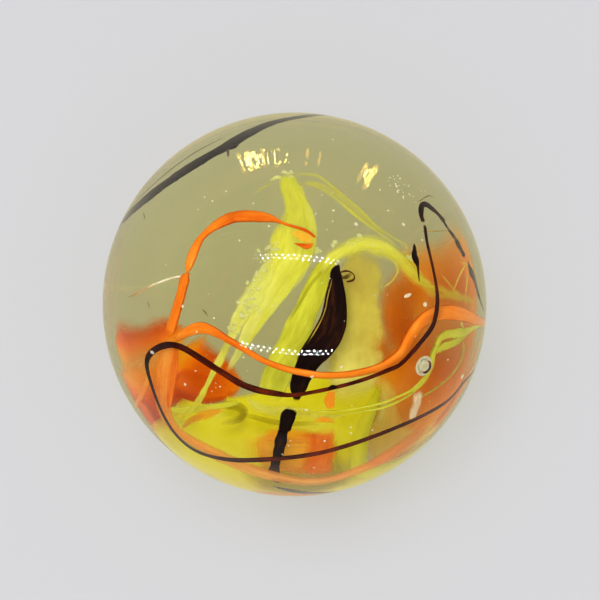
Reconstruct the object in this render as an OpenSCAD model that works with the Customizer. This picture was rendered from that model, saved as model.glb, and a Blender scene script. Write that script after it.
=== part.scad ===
// Glass marble: a ball of clear olive glass with strands of coloured glass inside it.
// The origin is the ball's centre. +Z points at the face that is looked at, +X to the right
// of that face and +Y up on it.

/* [Ball] */
// Diameter of the ball
ball_d = 16; // [14:0.5:50]
// Refractive index of the clear glass, which sets where a strand lies under the place where it is seen
glass_index = 1.5; // [1.45:0.01:1.6]
// Clear glass over the strands that lie nearest to the surface
cover_t = 0.2; // [0.1:0.05:0.4]
// Clear glass between one layer of strands and the next
layer_gap = 0.12; // [0.08:0.01:0.2]

/* [Dark glass] */
// Thickness of the dark threads
thread_t = 0.24; // [0.12:0.02:0.36]
// Width of the long thread that loops across the face
thread_w = 0.28; // [0.16:0.02:0.4]
// Width of the band along the upper rim
band_w = 1.0; // [0.4:0.1:1.4]
// Width of the short trace along the lower rim
trace_w = 0.5; // [0.2:0.1:0.8]
// Thickness of the dark ribbons
ribbon_t = 0.4; // [0.2:0.05:0.6]
// Width of the ribbon at the centre
ribbon_w = 1.0; // [0.5:0.1:1.3]
// Width of its lower part
lower_ribbon_w = 0.52; // [0.3:0.02:0.8]
// Width of the fleck at the right
fleck_w = 0.3; // [0.16:0.02:0.4]

/* [Orange glass] */
// Thickness of the orange ribbons
orange_t = 0.36; // [0.2:0.02:0.5]
// Width of the ribbon that hooks over the upper left
hook_w = 0.55; // [0.3:0.05:0.7]
// Width of the ribbon that sweeps across the front
front_w = 0.5; // [0.3:0.05:0.65]
// Width of the ribbon that runs down the left and along the bottom
lower_w = 0.8; // [0.4:0.05:0.9]
// Width of the hair line at the left
hair_w = 0.1; // [0.08:0.01:0.2]
// Width of the lesser wisps
wisp_w = 0.38; // [0.24:0.02:0.5]
// Width of the deep lobes, which the ball magnifies to about two and a half times
lobe_w = 1.0; // [0.5:0.05:1.2]

/* [Yellow glass] */
// Thickness of the yellow ribbons
yellow_t = 0.34; // [0.2:0.02:0.5]
// Width of the streamer at the left
streamer_w = 1.8; // [1:0.1:2.2]
// Width of the band beside the dark ribbon
band_in_w = 1.05; // [0.5:0.05:1.2]
// Width of the arch over the dark ribbon
arch_w = 0.42; // [0.2:0.02:0.6]
// Width of the veil under the arch
veil_w = 1.7; // [0.8:0.1:1.8]
// Width of the two strands at the upper right
upper_w = 0.16; // [0.1:0.02:0.24]
// Width of the knotted strand at the right
knot_w = 0.48; // [0.24:0.02:0.6]
// Width of the fine loop beside the knotted strand
fine_w = 0.14; // [0.1:0.02:0.2]
// Width of the deep pool, magnified as the deep lobes are
pool_w = 1.5; // [0.8:0.1:1.8]
// Width of the pale line over the pool
pale_line_w = 0.3; // [0.16:0.02:0.4]
// Width of the deep tan patch beside the pool
tan_w = 0.6; // [0.4:0.05:0.8]

/* [Cream glass and bubbles] */
// Width of the cream smear
cream_w = 0.4; // [0.2:0.05:0.6]
// Diameter of the largest bubble
bubble_d = 0.7; // [0.4:0.05:0.9]
// Diameter of the small bubbles
small_bubble_d = 0.26; // [0.16:0.02:0.4]

/* [Hidden] */

ball_r = ball_d / 2;
// Facets round the ball and round a bubble
ball_facets = 160;
bubble_facets = 24;
// Sides round a strand, round a hair-fine one, and rings from one of its marks to the next
wide_sides = 8;
fine_sides = 6;
fine_up_to_w = 0.3;
rings_per_mark = 2;
// Near and far side of a layer
near = "near";
far = "far";
// Degrees that a route runs on round the ball for each per cent past the rim
past_rim_ratio = 0.9;

// The layers, from the surface inwards, with the thickness of each. Strands that cross on
// the face lie in different layers, so that they never touch.
LAYERS = ["threads", "orange", "bubbles", "yellow", "yellow_in"];
layer_t = [thread_t, orange_t, max(ribbon_t, bubble_d), yellow_t, yellow_t];
function depth_to(k) = k == 0 ? cover_t : depth_to(k - 1) + layer_t[k - 1] + layer_gap;
function layer_r(layer) = let (k = search([layer], LAYERS)[0]) ball_r - depth_to(k) - layer_t[k] / 2;

// Routes. Each mark is a place on the face as it is seen from straight above, across and up
// from the centre, both in per cent of the ball's radius, and the share of the strand's full
// width there, also in per cent. A mark over 100 lies round the side of the ball.
thread_route = [
    [102, -12, 40], [100, -24, 60], [95, -32, 70], [88, -40, 80], [76, -52, 100],
    [48, -65, 100], [14, -76, 100], [-20, -80, 110], [-40, -79, 110], [-55, -73, 100],
    [-66, -60, 90], [-74, -40, 95], [-75, -28, 110], [-68, -21, 130], [-57, -22, 120],
    [-38, -34, 100], [-19, -44, 100], [3, -46, 90], [30, -40, 90], [56, -29, 90],
    [69, -14, 100], [74, 6, 110], [72, 20, 90], [68, 36, 70], [65, 49, 100],
    [67, 53, 130], [72, 49, 110], [83, 34, 80], [91, 16, 90], [96, 3, 80], [100, -4, 40]
];
top_band_route = [
    [-104, 18, 20], [-98, 32, 45], [-87, 46, 70], [-73, 58, 85], [-54, 71, 85],
    [-37, 81, 80], [-31, 84, 100], [-14, 93, 65], [8, 98, 50], [27, 98, 35], [44, 94, 15]
];
bottom_trace_route = [[-11, -94, 20], [-3, -97, 80], [9, -98, 100], [20, -98, 60], [29, -96, 15]];
centre_ribbon_route = [
    [21, 18, 30], [22, 10, 58], [22, 1, 72], [21, -7, 88], [18, -14, 102], [14, -20, 106],
    [9, -27, 92], [5, -34, 76], [2, -42, 62], [1, -48, 28]
];
lower_ribbon_route = [
    [-2, -54, 40], [-3, -57, 105], [-5, -63, 90], [-7, -71, 80], [-9, -80, 75], [-10, -86, 90],
    [-9, -90, 30]
];
fleck_route = [[61, 29, 15], [62, 25, 100], [62, 22, 90], [63, 19, 35], [64, 14, 15]];

hook_route = [
    [8, 30, 60], [6, 33, 110], [2, 38, 70], [-3, 41, 25], [-9, 43, 45], [-17, 45, 92],
    [-29, 45, 100], [-38, 42, 100], [-44, 37, 65], [-50, 31, 80], [-54, 24, 100], [-55, 18, 60],
    [-56, 15, 30], [-57, 10, 85], [-59, 2, 95], [-62, -8, 90], [-64, -15, 80]
];
front_route = [
    [-58, -17, 50], [-54, -14, 80], [-48, -13, 85], [-42, -14, 80], [-34, -18, 65], [-26, -23, 60],
    [-17, -28, 55], [-7, -32, 60], [3, -34, 60], [16, -36, 65], [30, -35, 75], [44, -32, 85],
    [55, -25, 100], [61, -15, 110], [65, -7, 105], [71, -4, 100], [79, -3, 100], [87, -4, 90],
    [96, -6, 70], [104, -9, 25]
];
lower_route = [
    [-66, -25, 45], [-68, -33, 100], [-69, -43, 115], [-68, -53, 105], [-65, -61, 95],
    [-59, -68, 90], [-49, -74, 85], [-38, -79, 75], [-28, -84, 60], [-18, -88, 50], [-6, -91, 45],
    [7, -92, 40], [20, -90, 40], [35, -85, 40], [48, -79, 35], [56, -74, 15]
];
hair_route = [[-97, -2, 40], [-88, 3, 80], [-80, 6, 100], [-71, 11, 110], [-65, 14, 80], [-61, 14, 40]];
left_lobe_route = [
    [-83, -28, 55], [-74, -30, 108], [-62, -33, 102], [-48, -37, 85], [-37, -40, 62], [-29, -45, 25]
];
middle_lobe_route = [[58, 15, 50], [57, 6, 92], [55, -5, 98], [56, -16, 85], [60, -26, 40]];
right_lobe_route = [
    [53, 31, 30], [63, 26, 70], [75, 19, 80], [84, 6, 60], [86, -9, 55], [83, -25, 90], [76, -40, 105],
    [66, -55, 85], [56, -66, 40]
];
bottom_lobe_route = [[-12, -75, 45], [-5, -77, 75], [5, -78, 75], [12, -77, 45]];
// Lesser orange wisps, of which one lies deeper than the others
wisp_routes = [
    [[-58, -64, 30], [-52, -58, 90], [-44, -55, 100], [-36, -53, 50]],
    [[-83, -54, 25], [-79, -47, 80], [-76, -40, 90], [-73, -34, 40]],
    [[19, -45, 80], [18, -49, 110], [19, -53, 70]],
    [[10, -60, 50], [15, -59, 90], [21, -60, 60]],
    [[14, -68, 150], [14, -78, 200], [12, -88, 170]]
];
deep_wisp_route = [[-26, -83, 70], [-16, -84, 210], [-4, -85, 230], [5, -86, 120]];

streamer_route = [
    [-3, 66, 45], [-2, 58, 50], [1, 48, 60], [1, 39, 90], [-1, 29, 100], [-5, 19, 90],
    [-12, 8, 75], [-18, -3, 62], [-25, -13, 40], [-32, -23, 22], [-40, -37, 17], [-46, -46, 18],
    [-53, -54, 20]
];
centre_band_route = [
    [21, 24, 35], [16, 18, 60], [11, 10, 80], [7, 0, 90], [3, -9, 95], [-1, -18, 95], [-6, -29, 100],
    [-10, -40, 105], [-13, -50, 90]
];
arch_route = [
    [18, 21, 50], [25, 27, 90], [33, 30, 100], [42, 31, 100], [50, 28, 100], [57, 23, 85],
    [62, 17, 65], [68, 12, 45], [75, 8, 25]
];
veil_route = [
    [39, 25, 60], [38, 14, 95], [35, 2, 92], [34, -10, 90], [35, -24, 95], [35, -37, 80], [34, -45, 40]
];
upper_route = [
    [4, 66, 60], [11, 64, 90], [19, 59, 100], [28, 52, 100], [38, 43, 90], [47, 36, 90], [54, 33, 80],
    [56, 28, 40]
];
second_upper_route = [[4, 60, 50], [13, 57, 90], [22, 50, 90], [29, 44, 80], [36, 38, 40]];
knotted_route = [
    [104, -9, 15], [97, -11, 25], [91, -12, 45], [86, -14, 90], [80, -16, 105], [76, -20, 80],
    [73, -26, 40], [71, -32, 60], [68, -37, 45], [61, -43, 35], [53, -47, 40], [44, -51, 40],
    [33, -53, 30], [22, -54, 25], [11, -54, 15]
];
fine_loop_route = [[88, -21, 50], [86, -27, 100], [82, -33, 100], [76, -39, 100], [69, -44, 60]];
pool_route = [
    [-77, -55, 40], [-62, -55, 75], [-44, -58, 95], [-22, -62, 105], [-2, -63, 105], [18, -64, 105],
    [36, -63, 105], [41, -62, 90]
];
// Pale line over the pool's left end, and the tan glass that shows past its right end
pale_line_route = [[-66, -54, 50], [-55, -54, 100], [-42, -53, 100], [-28, -50, 50]];
tan_route = [[51, -45, 70], [51, -57, 100], [50, -69, 90], [47, -80, 50]];
cream_route = [[62, -47, 60], [62, -51, 100], [61, -56, 100], [60, -60, 45]];
// Where the large bubble and the small ones are seen
bubble_mark = [67, -32];
small_bubble_marks = [[67, 0], [58, 5], [87, -38], [-13, 40], [-57, 4], [-35, 58], [32, 41]];

// Where a ray that enters the face at h, a share of the radius, meets the shell of radius r.
// It bends at the surface, passes the centre at the distance miss, and gives the place as its
// distance from the axis and its height.
function sight(h, r, side) =
    let (
        bend = asin(h) - asin(h / glass_index),
        miss = ball_r * h / glass_index,
        run = (side == near ? 1 : -1) * sqrt(max(0, r * r - miss * miss))
    )
    [miss * cos(bend) + run * sin(bend), run * cos(bend) - miss * sin(bend)];
// True place, on the shell of radius r, of what is seen at a mark
function place(mark, r, side) =
    let (
        h = norm([mark[0], mark[1]]) / 100,
        turn = atan2(mark[1], mark[0]),
        seen = sight(min(h, 1), r, side),
        fall = atan2(seen[0], seen[1]) + (side == near ? 1 : -1) * max(0, h - 1) * 100 * past_rim_ratio,
        shell = norm(seen)
    )
    shell * [sin(fall) * cos(turn), sin(fall) * sin(turn), cos(fall)];

// Smooth curve through the marks of a route: the mark at step t
function bow(a, b, c, d, t) =
    (2 * b + (c - a) * t + (2 * a - 5 * b + 4 * c - d) * t * t + (3 * b - a - 3 * c + d) * t * t * t) / 2;
function along(route, t) =
    let (last = len(route) - 1, k = min(floor(t), last - 1))
    bow(route[max(k - 1, 0)], route[k], route[k + 1], route[min(k + 2, last)], t - k);

// Direction across a strand at ring k, square to its run and to the radius
function across(places, k) =
    let (side = cross(places[min(k + 1, len(places) - 1)] - places[max(k - 1, 0)], places[k]))
    side / norm(side);
// Point on a strand's section, which is an ellipse bent round the ball's centre
function rim_point(centre, sideways, w, t, angle) =
    let (r = norm(centre), swing = w * cos(angle) / r * 90 / PI)
    (r + t / 2 * sin(angle)) * (centre / r * cos(swing) + sideways * sin(swing));
// Pointed end of a strand, half its width past its last ring
function tip(last_place, place_before, w) =
    let (ahead = last_place - place_before)
    last_place + ahead / norm(ahead) * w / 2;

// One strand of glass along a route, in one layer. It thins as it narrows.
module strand(route, w, t, layer, side) {
    sides = w < fine_up_to_w ? fine_sides : wide_sides;
    marks = [for (k = [0 : (len(route) - 1) * rings_per_mark]) along(route, k / rings_per_mark)];
    places = [for (mark = marks) place(mark, layer_r(layer), side)];
    last = len(places) - 1;
    rings = [
        for (k = [0 : last], j = [0 : sides - 1])
            let (share = marks[k][2] / 100)
            rim_point(places[k], across(places, k), w * share, t * min(1, sqrt(share)), 360 * j / sides)
    ];
    first_tip = tip(places[0], places[1], w * marks[0][2] / 100);
    last_tip = tip(places[last], places[last - 1], w * marks[last][2] / 100);
    count = len(rings);
    walls = [
        for (k = [0 : last - 1], j = [0 : sides - 1])
            let (a = k * sides + j, b = k * sides + (j + 1) % sides)
            each [[a, b, a + sides], [b, b + sides, a + sides]]
    ];
    first_end = [for (j = [0 : sides - 1]) [count, (j + 1) % sides, j]];
    last_end = [for (j = [0 : sides - 1]) [count + 1, last * sides + j, last * sides + (j + 1) % sides]];
    polyhedron(concat(rings, [first_tip, last_tip]), concat(walls, first_end, last_end));
}

// Glass colours
module dark() color("#2b1210") children();
module orange() color("#f07a1c") children();
module yellow() color("#d8d832") children();

module dark_thread() dark() strand(thread_route, thread_w, thread_t, "threads", near);
module dark_top_band() dark() strand(top_band_route, band_w, thread_t, "threads", near);
module dark_bottom_trace() dark() strand(bottom_trace_route, trace_w, thread_t, "threads", near);
module dark_centre_ribbon() dark() strand(centre_ribbon_route, ribbon_w, ribbon_t, "bubbles", near);
module dark_lower_ribbon() dark() strand(lower_ribbon_route, lower_ribbon_w, ribbon_t, "bubbles", near);
module dark_fleck() dark() strand(fleck_route, fleck_w, thread_t, "bubbles", near);

module orange_hook_ribbon() orange() strand(hook_route, hook_w, orange_t, "orange", near);
module orange_front_ribbon() orange() strand(front_route, front_w, orange_t, "orange", near);
module orange_lower_ribbon() orange() strand(lower_route, lower_w, orange_t, "orange", near);
module orange_hair_line() orange() strand(hair_route, hair_w, hair_w, "orange", near);
module orange_left_lobe() orange() strand(left_lobe_route, lobe_w, orange_t, "orange", far);
module orange_middle_lobe() orange() strand(middle_lobe_route, lobe_w, yellow_t, "yellow_in", far);
module orange_right_lobe() orange() strand(right_lobe_route, lobe_w, orange_t, "orange", far);
module orange_bottom_lobe() orange() strand(bottom_lobe_route, lobe_w, yellow_t, "yellow_in", far);
module orange_wisps() {
    for (route = wisp_routes)
        orange() strand(route, wisp_w, wisp_w / 2, "bubbles", near);
    orange() strand(deep_wisp_route, wisp_w, wisp_w / 2, "yellow", near);
}

module yellow_streamer() yellow() strand(streamer_route, streamer_w, yellow_t, "yellow", near);
module yellow_centre_band() yellow() strand(centre_band_route, band_in_w, yellow_t, "yellow_in", near);
module yellow_arch() yellow() strand(arch_route, arch_w, yellow_t, "yellow", near);
module yellow_veil() yellow() strand(veil_route, veil_w, yellow_t, "yellow_in", near);
module yellow_upper_strands() {
    yellow() strand(upper_route, upper_w, upper_w, "yellow_in", near);
    yellow() strand(second_upper_route, upper_w, upper_w, "yellow_in", near);
}
module yellow_knotted_strand() yellow() strand(knotted_route, knot_w, yellow_t, "yellow", near);
module yellow_fine_loop() yellow() strand(fine_loop_route, fine_w, fine_w, "yellow", near);
module yellow_pool() yellow() strand(pool_route, pool_w, yellow_t, "yellow", far);

module yellow_pale_line() yellow() strand(pale_line_route, pale_line_w, pale_line_w / 2, "yellow_in", near);
module tan_patch() color("#b89448") strand(tan_route, tan_w, yellow_t, "bubbles", far);

module cream_smear() color("#dcc89c") strand(cream_route, cream_w, ribbon_t, "bubbles", near);

// Every strand, which is what the clear glass closes round
module strands() {
    dark_thread();
    dark_top_band();
    dark_bottom_trace();
    dark_centre_ribbon();
    dark_lower_ribbon();
    dark_fleck();
    orange_hook_ribbon();
    orange_front_ribbon();
    orange_lower_ribbon();
    orange_hair_line();
    orange_left_lobe();
    orange_middle_lobe();
    orange_right_lobe();
    orange_bottom_lobe();
    orange_wisps();
    yellow_streamer();
    yellow_centre_band();
    yellow_arch();
    yellow_veil();
    yellow_upper_strands();
    yellow_knotted_strand();
    yellow_fine_loop();
    yellow_pool();
    yellow_pale_line();
    tan_patch();
    cream_smear();
}

// Round bubbles of air, in the middle of their layer
module bubbles() {
    translate(place(bubble_mark, layer_r("bubbles"), near))
        sphere(d = bubble_d, $fn = bubble_facets);
    for (mark = small_bubble_marks)
        translate(place(mark, layer_r("bubbles"), near))
            sphere(d = small_bubble_d, $fn = bubble_facets);
}

module clear_glass() color([0.74, 0.73, 0.48, 0.35]) difference() {
    sphere(d = ball_d, $fn = ball_facets);
    strands();
    bubbles();
}

clear_glass();
dark_thread();
dark_top_band();
dark_bottom_trace();
dark_centre_ribbon();
dark_lower_ribbon();
dark_fleck();
orange_hook_ribbon();
orange_front_ribbon();
orange_lower_ribbon();
orange_hair_line();
orange_left_lobe();
orange_middle_lobe();
orange_right_lobe();
orange_bottom_lobe();
orange_wisps();
yellow_streamer();
yellow_centre_band();
yellow_arch();
yellow_veil();
yellow_upper_strands();
yellow_knotted_strand();
yellow_fine_loop();
yellow_pool();
yellow_pale_line();
tan_patch();
cream_smear();
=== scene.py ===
import math
import random

import bmesh
import bpy
from mathutils import Matrix, Vector, noise


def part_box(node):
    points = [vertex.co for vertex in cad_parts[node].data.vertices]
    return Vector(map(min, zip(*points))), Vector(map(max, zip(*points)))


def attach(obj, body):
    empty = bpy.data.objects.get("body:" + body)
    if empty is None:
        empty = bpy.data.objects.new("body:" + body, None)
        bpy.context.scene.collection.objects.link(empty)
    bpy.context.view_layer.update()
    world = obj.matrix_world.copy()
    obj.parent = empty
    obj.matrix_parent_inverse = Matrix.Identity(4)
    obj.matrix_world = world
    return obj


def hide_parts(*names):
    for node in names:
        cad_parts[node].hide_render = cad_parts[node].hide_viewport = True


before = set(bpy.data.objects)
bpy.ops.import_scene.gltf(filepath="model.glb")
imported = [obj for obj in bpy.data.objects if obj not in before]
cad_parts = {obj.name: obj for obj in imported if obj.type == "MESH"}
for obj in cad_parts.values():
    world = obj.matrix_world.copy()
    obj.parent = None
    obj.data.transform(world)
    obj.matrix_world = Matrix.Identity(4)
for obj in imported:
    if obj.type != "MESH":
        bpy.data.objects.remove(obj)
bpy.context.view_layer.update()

mm = 0.001
scene = bpy.context.scene
ballLow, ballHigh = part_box("clear_glass")
ballRadiusMm = 8.0
floorHeight = ballLow.z

# The layers that everything lies in, from the skin inwards, which are those of the part's source
layout = {
    "glassIndex": 1.5,
    "coverMm": 0.2,  # clear glass over the first layer
    "layerGapMm": 0.12,
    "layerMm": {"threads": 0.24, "orange": 0.36, "bubbles": 0.7, "yellow": 0.34, "yellowInner": 0.34},
    "pastRim": 0.9,  # degrees further round for each per cent that a mark lies past the rim
}
near, far = 1, -1


# An sRGB hex colour as the linear values that the nodes take
def hexColour(code):
    channels = [int(code[i:i + 2], 16) / 255 for i in (1, 3, 5)]
    return (*[c / 12.92 if c <= 0.04045 else ((c + 0.055) / 1.055) ** 2.4 for c in channels], 1.0)


def addNode(tree, kind, links=None, **settings):
    made = tree.nodes.new("ShaderNode" + kind)
    for name, value in settings.items():
        setattr(made, name, value)
    for socket, value in (links or {}).items():
        if isinstance(value, bpy.types.NodeSocket):
            tree.links.new(value, made.inputs[socket])
        else:
            made.inputs[socket].default_value = value
    return made


def calculate(tree, operation, first, second, **settings):
    return addNode(tree, "Math", {0: first, 1: second}, operation=operation, **settings).outputs[0]


def remap(tree, value, old, new, **settings):
    return addNode(tree, "MapRange", {
        "Value": value, "From Min": old[0], "From Max": old[1], "To Min": new[0], "To Max": new[1],
    }, **settings).outputs[0]


# The node's own detail and roughness are 2 and 0.5
def noiseTexture(tree, vector, scale, detail=2.0, roughness=0.5):
    return addNode(tree, "TexNoise", {
        "Vector": vector, "Scale": scale, "Detail": detail, "Roughness": roughness,
    }).outputs["Fac"]


def bumpNormal(tree, height, strength, distance):
    links = {"Height": height, "Strength": strength, "Distance": distance}
    return addNode(tree, "Bump", links).outputs["Normal"]


def mixValues(tree, share, first, second):
    return addNode(tree, "Mix", {0: share, 2: first, 3: second}, data_type="FLOAT").outputs[0]


def mixColours(tree, share, first, second):
    return addNode(tree, "Mix", {0: share, 6: first, 7: second}, data_type="RGBA").outputs[2]


def colourRamp(tree, source, places, codes):
    made = addNode(tree, "ValToRGB", {"Fac": source})
    ramp = made.color_ramp
    while len(ramp.elements) < len(places):
        ramp.elements.new(0.5)
    for element, position, code in zip(ramp.elements, places, codes):
        element.position = position
        element.color = hexColour(code)
    return made.outputs["Color"]


def newMaterial(name):
    material = bpy.data.materials.new(name)
    material.use_nodes = True
    material.node_tree.nodes.clear()
    return material, material.node_tree


def newObject(name, data):
    made = bpy.data.objects.new(name, data)
    scene.collection.objects.link(made)
    return made


def meshFrom(name, shape):
    mesh = bpy.data.meshes.new(name)
    shape.to_mesh(mesh)
    shape.free()
    return mesh


def finishSurface(tree, share, first, second, **others):
    surface = addNode(tree, "MixShader", {0: share, 1: first.outputs[0], 2: second.outputs[0]})
    addNode(tree, "OutputMaterial", {"Surface": surface.outputs[0], **others})


# Where things lie. A mark gives a place on the face as it is seen from straight above, in per
# cent of the radius. The sight line bends at the surface, as in the part's source.
def layerRadius(layer):
    depth = layout["coverMm"]
    for name, thickness in layout["layerMm"].items():
        if name == layer:
            return ballRadiusMm - depth - thickness / 2
        depth += thickness + layout["layerGapMm"]


def place(across, up, radius, side):
    share = math.hypot(across, up) / 100
    turn = math.atan2(up, across)
    inside = min(share, 1.0)
    bend = math.asin(inside) - math.asin(inside / layout["glassIndex"])
    miss = ballRadiusMm * inside / layout["glassIndex"]  # how far the bent line passes the centre
    run = side * math.sqrt(max(0.0, radius * radius - miss * miss))
    out = miss * math.cos(bend) + run * math.sin(bend)
    height = run * math.cos(bend) - miss * math.sin(bend)
    past = max(0.0, share - 1) * 100 * layout["pastRim"]
    fall = math.atan2(out, height) + side * math.radians(past)
    flat = math.sin(fall)
    return radius * Vector((flat * math.cos(turn), flat * math.sin(turn), math.cos(fall)))


# A smooth curve through the marks, at a step that may lie between two of them
def smoothMark(route, step):
    last = len(route) - 1
    k = min(int(step), last - 1)
    t = step - k
    picks = [route[max(k - 1, 0)], route[k], route[k + 1], route[min(k + 2, last)]]
    return [
        (2 * b + (c - a) * t + (2 * a - 5 * b + 4 * c - d) * t * t
         + (3 * b - a - 3 * c + d) * t ** 3) / 2
        for a, b, c, d in zip(*picks)
    ]


def between(values, share):
    if not isinstance(values, tuple):
        return values
    share = min(1.0, max(0.0, share)) * (len(values) - 1)
    k = min(int(share), len(values) - 2)
    return values[k] + (values[k + 1] - values[k]) * (share - k)


# How a strand is drawn unless its own run says otherwise
strandHabit = {
    "waver": 0.05,  # how unevenly it was pulled, as a share of its width
    "lift": 0.0,  # how far above its layer it lies, in mm
    "cover": 1.0,  # how much it hides, and how its ends and one side fade
    "fadeMm": (0.4, 0.4),
    "lean": 0.0,
    "tone": 0.5,  # its place on the colour ramp
    "sides": 16,
    "blunt": False,
}
# What all strands share. The noise rows hold the rate per mm, the seed's step and the lane.
drawing = {
    "rings": 8,  # between two marks
    "leastShare": 0.02,
    "tipSteps": (0.45, 0.75, 0.92),  # rings that round an end off, in shares of its half-width
    "tipMm": 0.08,
    "widthNoise": (2.1, 7.3, 0.5),
    "slipNoise": (1.3, 3.1, 4.5),
    "ridgeMm": 0.012,
    "ridgeNoise": (0.35, 9, 5.7),  # along and across per mm, and the seed's step
    "streakStep": 3.7,
}


# One run of drawn glass: its marks are (across, up, per cent of its width)
def strand(route, widthMm, thickMm, layer, side=near, **extra):
    return {**strandHabit, "route": route, "widthMm": widthMm, "thickMm": thickMm, "layer": layer,
            "side": side, **extra}


def wander(along, seed, row):
    rate, step, lane = row
    return noise.noise(Vector((along * rate, seed * step, lane)))


# Places along the run, each with its direction, its share of the width and its distance
def layStations(run, radius):
    route, rings = run["route"], drawing["rings"]
    steps = (len(route) - 1) * rings
    marks = [smoothMark(route, k / rings) for k in range(steps + 1)]
    places = [place(mark[0], mark[1], radius, run["side"]) for mark in marks]
    stations = []
    total = 0.0
    for k, (mark, centre) in enumerate(zip(marks, places)):
        ahead = (places[min(k + 1, steps)] - places[max(k - 1, 0)]).normalized()
        if k:
            total += (centre - places[k - 1]).length
        stations.append((centre, ahead, max(drawing["leastShare"], mark[2] / 100), total))
    first, last = stations[0], stations[-1]
    for q in () if run["blunt"] else drawing["tipSteps"]:
        narrow = math.sqrt(1 - q * q)
        reach = q * run["widthMm"] * first[2] / 2
        stations.insert(0, (first[0] - first[1] * reach, first[1], first[2] * narrow, -reach))
        reach = q * run["widthMm"] * last[2] / 2
        stations.append((last[0] + last[1] * reach, last[1], last[2] * narrow, total + reach))
    return stations, total


# The section is an ellipse bent round the ball's centre. The vertices carry run (along and
# across, in mm), edge (0 in the middle, 1 at the sides), cover and tone.
def addStrand(mesh, run, seed):
    waver, sides, lean, tipMm = run["waver"], run["sides"], run["lean"], drawing["tipMm"]
    ridgeAlong, ridgeAcross, ridgeStep = drawing["ridgeNoise"]
    radius = layerRadius(run["layer"]) + run["lift"]
    stations, total = layStations(run, radius)
    base = len(mesh["points"])
    for centre, ahead, share, along in stations:
        out = centre.normalized()
        sideways = ahead.cross(out).normalized()
        width = run["widthMm"] * share * (1 + 2 * waver * wander(along, seed, drawing["widthNoise"]))
        slip = waver * 0.5 * run["widthMm"] * wander(along, seed, drawing["slipNoise"])
        thick = run["thickMm"] * min(1.0, math.sqrt(share))
        fade = min(1.0, (along + tipMm) / run["fadeMm"][0], (total + tipMm - along) / run["fadeMm"][1])
        cover = between(run["cover"], along / total) * max(0.0, fade)
        for j in range(sides):
            angle = 2 * math.pi * j / sides
            share = math.cos(angle)
            across = width / 2 * share + slip
            under = angle > math.pi
            ridge = drawing["ridgeMm"] * noise.noise(
                Vector((along * ridgeAlong, across * ridgeAcross, seed * ridgeStep + under)))
            swing = across / radius
            height = radius + thick / 2 * math.sin(angle) + ridge
            mesh["points"].append((out * math.cos(swing) + sideways * math.sin(swing)) * height * mm)
            mesh["run"] += (along, across, seed * drawing["streakStep"])
            mesh["edge"].append(abs(share))
            leaning = 0.5 + 0.5 * share * (1 if lean > 0 else -1)
            mesh["cover"].append(cover * (1 - abs(lean) * leaning))
            mesh["tone"].append(between(run["tone"], along / total))
    count = len(stations)
    for k in range(count - 1):
        for j in range(sides):
            a, b = base + k * sides + j, base + k * sides + (j + 1) % sides
            mesh["faces"].append((a, b, b + sides, a + sides))
    mesh["faces"].append(tuple(base + j for j in range(sides))[::-1])
    mesh["faces"].append(tuple(base + (count - 1) * sides + j for j in range(sides)))


def buildMesh(name, mesh):
    made = bpy.data.meshes.new(name)
    made.from_pydata(mesh["points"], [], mesh["faces"])
    made.update()
    made.attributes.new("run", "FLOAT_VECTOR", "POINT").data.foreach_set("vector", mesh["run"])
    for key in ("edge", "cover", "tone"):
        made.attributes.new(key, "FLOAT", "POINT").data.foreach_set("value", mesh[key])
    return made


def finishPiece(name, mesh, material, node=None):
    piece = newObject(name, mesh)
    mesh.materials.append(material)
    for polygon in mesh.polygons:
        polygon.use_smooth = True
    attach(piece, "root")
    if node:
        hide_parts(node)
    return piece


# Materials. Most values of a noise texture lie in noiseSpan. With the narrower noiseMiddle,
# what they steer changes more sharply.
noiseSpan, noiseMiddle = (0.3, 0.7), (0.35, 0.65)
white = (1, 1, 1, 1)
fireSkin = {
    "roughness": 0.004,
    "striaePerM": 260.0,
    "striaeBump": 0.05,
    "striaeM": 0.0002,
    "tint": (0.815, 0.79, 0.24, 1),
    "tintPerM": 60.0,
}


# Clear olive glass, fire-polished: smooth, so that it mirrors the lamps sharply, and tinted
# through its depth, so that it is paler where it is thin. Shadows and scattered light pass it.
def makeClearGlass():
    material, tree = newMaterial("oliveGlassFirePolished")
    position = addNode(tree, "NewGeometry").outputs["Position"]
    striae = noiseTexture(tree, position, fireSkin["striaePerM"])
    glass = addNode(tree, "BsdfPrincipled", {
        "Base Color": white, "Roughness": fireSkin["roughness"], "IOR": layout["glassIndex"],
        "Transmission Weight": 1.0,
        "Normal": bumpNormal(tree, striae, fireSkin["striaeBump"], fireSkin["striaeM"]),
    })
    path = addNode(tree, "LightPath").outputs
    passes = calculate(tree, "MAXIMUM", path["Is Shadow Ray"], path["Is Diffuse Ray"])
    depth = {"Color": fireSkin["tint"], "Density": fireSkin["tintPerM"]}
    tint = addNode(tree, "VolumeAbsorption", depth)
    finishSurface(tree, passes, glass, addNode(tree, "BsdfTransparent"), Volume=tint.outputs[0])
    return material


# What the skin of all drawn glass has
drawnSkin = {
    "streaksAlong": 0.1,  # how often a streak changes, against its width
    "streaksAcross": 0.5,
    "detail": 3.0,
    "streakRoughness": 0.6,
    "smoother": 0.08,  # how far the roughness strays either way
    "rougher": 0.12,
    "gloss": 0.02,
    "bump": 0.25,
    "bumpM": 0.00002,
}


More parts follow.
